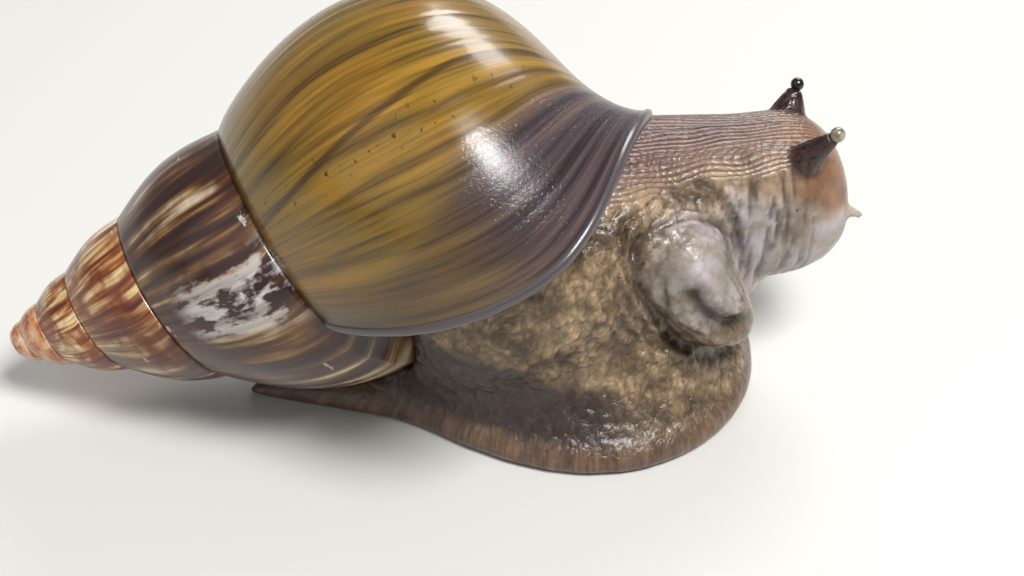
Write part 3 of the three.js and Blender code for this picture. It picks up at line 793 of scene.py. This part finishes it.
def shellMaterial():  # horn over lime, polished by wear: glossy, with growth lines, flames and bald spots
    material, tree = freshMaterial("glossyHornShell")
    add = partial(addNode, tree)
    turns, across = add("SeparateXYZ", [add("UVMap", uv_map="growth")]).node.outputs[:2]
    noises = []
    for length, down, detail, shift in shellPatterns.values():  # noise drawn out along the growth lines
        place = add("CombineXYZ", [add("Math", [turns, round(girth / length)], **times),
                                   add("Math", [across, down, shift], **timesPlus)])
        noises.append(add("TexNoise", {"Vector": place, "Scale": 1.0, "Detail": detail, "Roughness": 0.6}))
    fine, lines, bands, clouds, streaks, patches, wear, flecks, scars = noises

    # horn of the body whorl, which is darker and browner on its older part
    horn = add("ValToRGB", [lines], stops=[(0.34, "#5C4616"), (0.46, "#8A6C24"), (0.62, "#A98632")])
    shade = add("ValToRGB", [bands], stops=[(0.36, 0.6), (0.5, 1.0)])
    cloud = add("ValToRGB", [clouds], stops=[(0.38, "#6E6A22"), (0.6, "#A07E2E")])
    old = add("ValToRGB", [lines], stops=[(0.3, "#3A2614"), (0.7, "#6A4A22")])
    oldPart = add("MapRange", [turns, -0.42, -0.6], **smooth)
    for share, tint, blend in ((0.35, shade, "MULTIPLY"), (0.5, cloud, "OVERLAY"), (oldPart, old, "MIX")):
        horn = add("Mix", {0: share, 6: horn, 7: tint}, blend_type=blend, **tints)

    # the newest growth is dark, and its border slants over the growth lines
    newAbove = add("ValToRGB", [lines], stops=[(0.35, "#402E1A"), (0.7, "#6E5428")])
    newBelow = add("ValToRGB", [lines], stops=[(0.35, "#281E20"), (0.5, "#42363A"), (0.7, "#6A544A")])
    above = add("MapRange", [across, 0.72, 0.42], **smooth)
    newest = add("Mix", {0: above, 6: newBelow, 7: newAbove}, **tints)
    border = add("Math", [add("MapRange", [across, 0.08, 0.78], **smooth), -0.066, -0.03], **timesPlus)
    ragged = add("Math", [clouds, 0.024, add("Math", [turns, border], **minus)], **timesPlus)
    ragged = add("Math", [lines, 0.036, add("Math", [ragged, 0.018], **minus)], **timesPlus)
    newPart = add("MapRange", [ragged, -0.002, 0.032], **smooth)

    # one dark pause in growth, and a row of specks beside it
    mark = add("Math", [add("Math", [across, -0.05, -0.112], **timesPlus), -0.148], **greatest)
    fromMark = add("Math", [add("Math", [turns, mark], **minus)], **absolute)
    pause = add("Math", [add("MapRange", [fromMark, 0.0045, 0.001], **smooth), 0.75], **times)
    fromRow = add("Math", [add("Math", [turns, 0.119], **plus)], **absolute)
    specks = add("Math", [add("MapRange", [fromRow, 0.02, 0.002], **smooth),
                          add("ValToRGB", [flecks], stops=[(0.66, 0.0), (0.7, 1.0)])], **times)

    # flames of the older whorls: chestnut, then orange, then pink at the tip
    flames = [
        ([(0.4, "#2E1812"), (0.5, "#55301E"), (0.57, "#8A6A34"), (0.63, "#C8B49A")],
         [(0.4, "#2E1814"), (0.7, "#5E3620")], [(0.4, 1.0), (0.62, 0.0)]),
        ([(0.36, "#5C2A1C"), (0.46, "#A2602A"), (0.56, "#D9C08C"), (0.72, "#E4D2A8")],
         [(0.4, "#6A2C18"), (0.7, "#A8652C")], [(0.42, 1.0), (0.56, 0.0)]),
    ]
    chestnut, orange = (
        add("Mix", {0: add("ValToRGB", [patches], stops=where), 6: add("ValToRGB", [streaks], stops=light),
                    7: add("ValToRGB", [streaks], stops=dark)}, **tints) for light, dark, where in flames)
    pink = add("ValToRGB", [patches], stops=[(0.36, "#9C4A28"), (0.46, "#C08058"), (0.6, "#D8B48E")])

    # worn places, where the horn is gone and the pale lime shows
    worn = add("Math", [add("ValToRGB", [wear], stops=[(0.67, 0.0), (0.7, 1.0)]),
                        add("MapRange", [turns, -0.8, -0.95], **smooth)], **times)
    fromScar = add("Math", [add("Math", [turns, 1.04], **plus)], **absolute)
    bald = add("Math", [add("MapRange", [fromScar, 0.055, 0.02], **smooth),
                        add("ValToRGB", [scars], stops=[(0.46, 0.0), (0.54, 1.0)])], **times)
    offSuture = add("Math", [add("MapRange", [across, 0.1, 0.25], **smooth), 0.85], **times)
    worn = add("Math", [worn, add("Math", [bald, offSuture], **times)], **greatest)
    lime = add("ValToRGB", [lines], stops=[(0.35, "#8E8078"), (0.6, "#C9C2BC")])

    tint = horn
    for share, over, blend in (
            (newPart, newest, "MIX"), (pause, linear("#38240E"), "MIX"),
            (add("Math", [specks, 0.85], **times), linear("#2A1C0C"), "MIX"),
            (add("MapRange", [turns, -0.66, -0.8], **smooth), chestnut, "MIX"),
            (add("MapRange", [turns, -1.85, -2.15], **smooth), orange, "MIX"),
            (add("MapRange", [turns, -3.2, -3.9], **smooth), pink, "MIX"),
            (0.8, add("ValToRGB", [fine], stops=[(0.36, 0.52), (0.52, 1.0)]), "MULTIPLY"),
            (worn, lime, "MIX"),
            # a thin dark line along each suture: painted shade in the suture groove
            (add("ValToRGB", [across], stops=[(0.0, 1.0), (0.022, 0.0)]), linear("#2A1814"), "MIX")):
        tint = add("Mix", {0: share, 6: tint, 7: over}, blend_type=blend, **tints)

    height = add("Math", [lines, 0.6, add("Math", [fine, 0.4], **times)], **timesPlus)
    height = add("Math", [worn, -0.5, height], **timesPlus)
    bump = add("Bump", {"Strength": 0.22, "Distance": 0.0003, "Height": height})
    place = add("TexCoord", out="Object")
    grit = add("TexNoise", {"Vector": place, "Scale": 1400.0, "Detail": 3.0})  # 0.7 mm across
    glitter = add("Math", [add("MapRange", [ragged, 0.0, 0.03], **smooth), 0.5, 0.04], **timesPlus)
    coatBump = add("Bump", {"Strength": glitter, "Distance": 0.0005, "Height": grit})
    rough = add("Math", [worn, 0.3, add("ValToRGB", [bands], stops=[(0.3, 0.24), (0.7, 0.34)])], **timesPlus)
    finishMaterial(tree, {"Base Color": tint, "Roughness": rough, "IOR": 1.45, "Coat Weight": 0.35,
                          "Coat Roughness": 0.1, "Normal": bump, "Coat Normal": coatBump})
    return material


def lipMaterial():  # fresh shell at the rim, still soft: smooth dark grey with a dull gloss
    material, tree = freshMaterial("greyShellLip")
    finishMaterial(tree, {"Base Color": linear("#4A4244"), "Roughness": 0.3, "Coat Weight": 0.4,
                          "Coat Roughness": 0.15})
    return material


def skinMaterial():  # flesh under slime: wet, mottled, with rows on the neck and a brown edge of the foot
    material, tree = freshMaterial("wetSnailSkin")
    add = partial(addNode, tree)
    place = add("TexCoord", out="Object")
    lines, regions, places, edgePlace = (
        add("Attribute", out="Vector", attribute_name=name, attribute_type="GEOMETRY")
        for name in ("lines", "regions", "places", "edge"))
    (beadX, beadRow, beads), (brown, grey, night), (feeler, lowFeeler, margin), (ahead, _, height) = (
        add("SeparateXYZ", [vector]).node.outputs for vector in (lines, regions, places, place))
    creaseShade = add("Attribute", out="Fac", attribute_name="groove", attribute_type="GEOMETRY")
    mottle, fine, grain, film = (
        add("TexNoise", {"Vector": place, "Scale": 1000 / across, "Detail": detail, "Roughness": 0.6})
        for across, detail in skinPatterns.values())

    # the same rows as in the shape: rounded across, broken into beads along
    staggered = add("Math", [add("Math", [beadRow], **floored), 0.37, beadX], **timesPlus)
    waves = []
    for source, roundness in ((beadRow, 0.6), (staggered, 0.5)):
        wave = add("Math", [add("Math", [source, math.pi], **times)], **sine)
        waves.append(add("Math", [add("Math", [wave], **absolute), roundness], **toPower))
    bead = add("Math", [waves[0], add("Math", [waves[1], 0.6, 0.4], **timesPlus)], **times)

    # small slanting cells over flank and foot, with painted shade darkening the creases between them
    swirl = add("TexNoise", {"Vector": place, "Scale": 260.0, "Detail": 2.0}, out="Color")  # 4 mm
    shaken = add("VectorMath", [swirl, (0.0022, 0.0022, 0.0022), place], **timesPlus)
    slanting = add("Mapping", {"Vector": shaken, "Rotation": (0.0, -0.5, 0.0)})
    cells = []
    for wide, tall, crease in skinCells:
        laid = add("Mapping", {"Vector": slanting, "Scale": (1000 / wide, 1000 / wide, 1000 / tall)})
        cell = add("TexVoronoi", {"Vector": laid, "Scale": 1.0}, out="Distance", feature="DISTANCE_TO_EDGE")
        cells.append(add("ValToRGB", [cell], stops=[(0.0, 0.0), (crease, 1.0)]))
    creased = add("Math", [cells[0], add("Math", [cells[1], 0.4, 0.6], **timesPlus)], **times)
    plain = add("Math", [grey, -0.8, 1.0], **timesPlus)
    plain = add("Math", [add("Math", [1.0, brown], **minus), plain], **times)

    # flank, darker lower down
    tint = add("ValToRGB", [mottle], stops=[(0.36, "#5C4C3A"), (0.48, "#A08868"), (0.58, "#C2AA86"),
                                            (0.7, "#D4BE9C")])
    fleck = add("ValToRGB", [fine], stops=[(0.35, "#5A4E40"), (0.62, "#A89A86")])
    low = add("MapRange", [height, 0.038, 0.018, 0.0, 0.25], **smooth)
    tint = add("Mix", {0: 0.35, 6: tint, 7: fleck}, blend_type="OVERLAY", **tints)
    tint = add("Mix", {0: low, 6: tint, 7: linear("#4A3A2C")}, **tints)
    # painted shade: the tint is darkened in the creases between the cells
    creaseShadedTint = add("Mix", {0: 1.0, 6: tint, 7: add("ValToRGB", [creased], stops=[(0.0, 0.5), (0.8, 1.0)])},
                blend_type="MULTIPLY", **tints)

    # neck: beige beside the shell, mauve-brown on top, warm brown on the face, dark between the rows
    neck, top, face = (add("ValToRGB", [mottle], stops=stops) for stops in (
        [(0.35, "#806A58"), (0.6, "#B49C80")], [(0.35, "#4A2E26"), (0.6, "#664236")],
        [(0.35, "#664836"), (0.6, "#886446")]))
    neck = add("Mix", {0: add("MapRange", [height, 0.0485, 0.0545], **smooth), 6: neck, 7: top}, **tints)
    neck = add("Mix", {0: add("MapRange", [ahead, 0.063, 0.071], **smooth), 6: neck, 7: face}, **tints)
    crest = add("ValToRGB", [bead], stops=[(0.3, 0.0), (0.75, 1.0)])
    rows = add("Mix", {0: crest, 6: linear("#4A342A"), 7: neck}, **tints)
    neck = add("Mix", {0: add("Math", [beads, 0.75], **times), 6: neck, 7: rows}, **tints)

    pale = add("ValToRGB", [mottle], stops=[(0.34, "#7C6F60"), (0.5, "#9C928A"), (0.66, "#AEA7AD")])
    dusk = add("ValToRGB", [fine], stops=[(0.3, "#1C161A"), (0.7, "#403434")])
    along = add("Mapping", {"Vector": edgePlace, "Scale": (0.9, 0.12, 1.0)})
    stripes = add("TexNoise", {"Vector": along, "Scale": 1.0, "Detail": 3.0})
    rim = add("ValToRGB", [stripes], stops=[(0.35, "#46322A"), (0.5, "#5A4236"), (0.66, "#745844")])
    horn = add("ValToRGB", [fine], stops=[(0.35, "#1E100E"), (0.65, "#3E2420")])
    for share, most, over in ((plain, 0.7, creaseShadedTint), (brown, 1.0, neck), (grey, 1.0, pale), (night, 0.93, dusk),
                              (margin, 0.85, rim), (feeler, 1.0, horn), (lowFeeler, 1.0, linear("#A89C90")),
                              # painted shade in the grooves, creases and the fold's hollow
                              (creaseShade, 0.85, linear("#38291C"))):
        tint = add("Mix", {0: add("Math", [share, most], **times), 6: tint, 7: over}, **tints)

    rough = add("ValToRGB", [fine], stops=[(0.35, 0.28), (0.65, 0.5)])
    relief = add("Math", [fine, 0.35], **times)
    relief = add("Math", [bead, add("Math", [beads, 0.5], **times), relief], **timesPlus)
    relief = add("Math", [grain, 0.14, relief], **timesPlus)
    relief = add("Math", [creased, add("Math", [plain, 0.55], **times), relief], **timesPlus)
    relief = add("Math", [stripes, add("Math", [margin, 0.6], **times), relief], **timesPlus)
    wet = add("Math", [fine, 0.5], **times)
    wet = add("Math", [bead, add("Math", [beads, 0.2], **times), wet], **timesPlus)
    bump, wetBump = (add("Bump", {"Strength": 0.6, "Distance": 0.0004, "Height": rise})
                     for rise in (relief, add("Math", [wet, film], **plus)))
    finishMaterial(tree, {
        "Base Color": tint, "Roughness": rough, "IOR": 1.4, "Subsurface Weight": 0.12,
        "Subsurface Radius": (1.0, 0.5, 0.35), "Subsurface Scale": 0.0012, "Coat Weight": 0.5,
        "Coat Roughness": 0.1, "Coat IOR": 1.36, "Normal": bump, "Coat Normal": wetBump})
    return material


def eyeMaterial(name, knob, spot):  # moist clouded knob, with the dark eye showing through it
    material, tree = freshMaterial(name)
    add = partial(addNode, tree)
    cloud = add("TexNoise", {"Vector": add("TexCoord", out="Object"), "Scale": 900.0, "Detail": 3.0})  # 1 mm
    tint = add("ValToRGB", [cloud], stops=[(0.4, spot), (0.56, knob)])
    finishMaterial(tree, {"Base Color": tint, "Roughness": 0.2, "Coat Weight": 0.5, "Coat Roughness": 0.08,
                          "Subsurface Weight": 0.1, "Subsurface Scale": 0.0006})
    return material


finishPiece(shellPiece, shellMaterial(), "shell", "shell_apex", "shell_upper_spire", "shell_middle_spire",
            "shell_penultimate_whorl", "shell_body_whorl")
finishPiece(lipPiece, lipMaterial(), "shell_lip", "shell_lip")
finishPiece(skinPiece, skinMaterial(), "skin", *bodyNodes, *fineNodes)
finishPiece(eyePieces["eye_right"], eyeMaterial("paleEyeKnob", "#9A9478", "#6A6450"), "eye", "eye_right")
finishPiece(eyePieces["eye_left"], eyeMaterial("darkEyeKnob", "#1E1614", "#0E0A0A"), "eye", "eye_left")
print("materials done")


# floor and light

studio = {"floorSize": 3.0, "floorDrop": 0.00005, "floor": "#CFCDC8", "exposure": -0.35, "room": 0.3}
lights = {  # metres and watts
    "keyLight": ((0.25, -0.45, 0.95), (0.35, 0.35), 18),
    "fillLight": ((-0.9, -0.5, 0.8), (1.4, 1.4), 4),
    "backLight": ((0.5, 0.8, 0.7), (0.6, 0.4), 8),
}


def addFloor():
    deselectAll()
    bpy.ops.mesh.primitive_plane_add(size=studio["floorSize"], location=(0, 0, -studio["floorDrop"]))
    floor = bpy.context.object
    floor.name = "floor"
    material, tree = freshMaterial("paleFloor")
    finishMaterial(tree, {"Base Color": linear(studio["floor"]), "Roughness": 0.7})
    floor.data.materials.append(material)


def addSoftbox(name, place, size, power):  # turned to the middle of the animal
    deselectAll()
    bpy.ops.object.light_add(type="AREA", location=place)
    light = bpy.context.object
    light.name = name
    light.rotation_euler = (Vector(place) - Vector((0, 0, 0.03))).to_track_quat("Z", "Y").to_euler()
    light.data.shape = "RECTANGLE"
    light.data.size, light.data.size_y = size
    light.data.energy = power


addFloor()
for name, (place, size, power) in lights.items():
    addSoftbox(name, place, size, power)
world = bpy.data.worlds.new("paleRoom")
world.use_nodes = True
world.node_tree.nodes["Background"].inputs[0].default_value = (0.9, 0.95, 1.0, 1.0)
world.node_tree.nodes["Background"].inputs[1].default_value = studio["room"]
bpy.context.scene.world = world
bpy.context.scene.view_settings.view_transform = "Standard"
bpy.context.scene.view_settings.exposure = studio["exposure"]
print("floor and light set")
